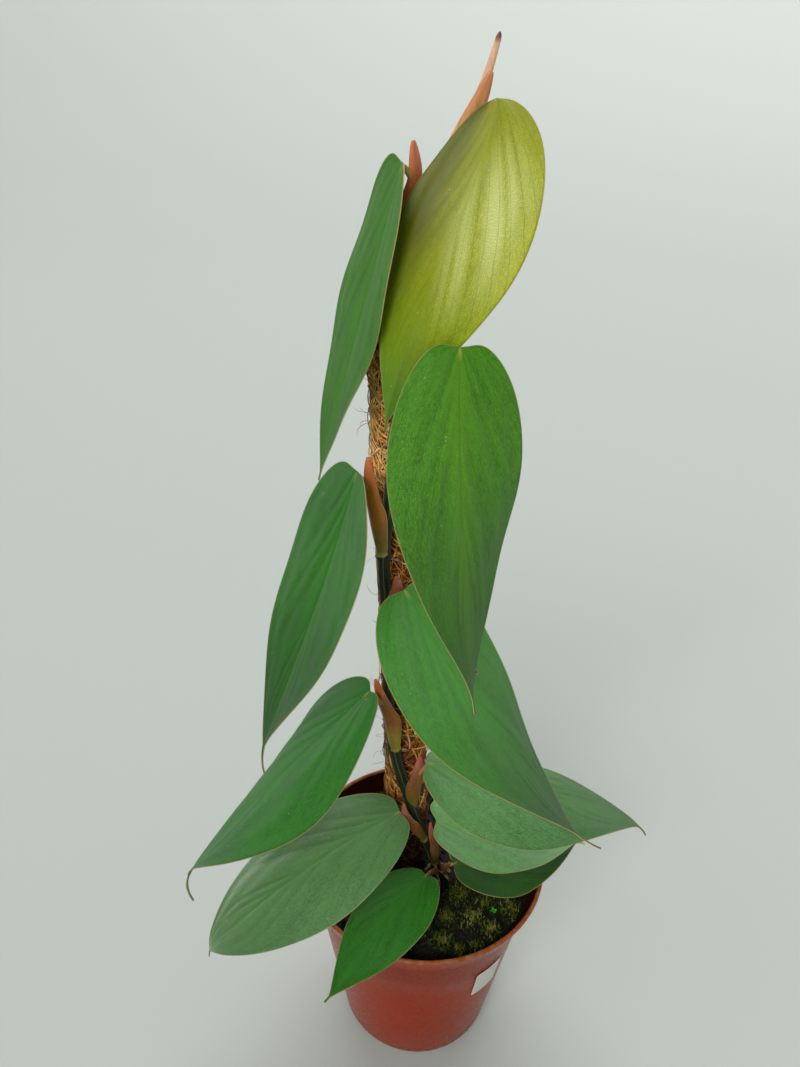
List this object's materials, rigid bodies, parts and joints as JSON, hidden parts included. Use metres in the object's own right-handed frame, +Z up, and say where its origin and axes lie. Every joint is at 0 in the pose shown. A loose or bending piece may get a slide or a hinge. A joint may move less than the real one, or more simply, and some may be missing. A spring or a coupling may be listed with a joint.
{
  "type": "potted philodendron",
  "caption": "Young climbing philodendron with hanging lance-shaped leaves on a leaning coir pole, rooted in a small tapered plastic nursery pot.",
  "frame": {"origin": "centre of the pot's base, on the surface that it stands on", "axes": "+Z up along the pot's axis; the plant's front, the side seen in the picture, faces -Y and +X is to the viewer's right"},
  "size_m": [0.2067, 0.134, 0.4546],
  "materials": {
    "terracotta_plastic": "orange-brown moulded plastic, satin gloss, translucent at the thin wall",
    "label_film": "blank white stick-on slip",
    "peat": "dark damp peat mix with olive moss",
    "cane": "plain cane",
    "coir": "matted golden-brown coconut fibre",
    "thread": "thin brown thread",
    "stem_green": "dark green stem with pale ridges and brown roots",
    "sheath_pink": "pale salmon sheath with a brown point",
    "petiole_red": "reddish-brown stalk, olive at its foot",
    "leaf_green": "velvety mid green with a thin pale margin",
    "new_leaf_green": "soft yellow-green with a silky sheen"
  },
  "bodies": {
    "root": {"pot": "terracotta_plastic", "label": "label_film", "soil": "peat", "pole_core": "cane", "coir_sleeve": "coir", "binding_thread": "thread", "stem": "stem_green", "growing_tip": "sheath_pink", "petiole_01": "petiole_red", "petiole_02": "petiole_red", "petiole_03": "petiole_red", "petiole_04": "petiole_red", "petiole_05": "petiole_red", "petiole_06": "petiole_red", "petiole_07": "petiole_red", "petiole_08": "petiole_red", "petiole_09": "petiole_red", "petiole_10": "petiole_red", "petiole_11": "petiole_red", "leaf_01": "leaf_green", "leaf_02": "leaf_green", "leaf_03": "leaf_green", "leaf_04": "leaf_green", "leaf_05": "leaf_green", "leaf_06": "leaf_green", "leaf_07": "leaf_green", "leaf_08": "leaf_green", "leaf_09": "leaf_green", "leaf_10": "leaf_green", "leaf_11": "new_leaf_green"}
  },
  "joints": []
}
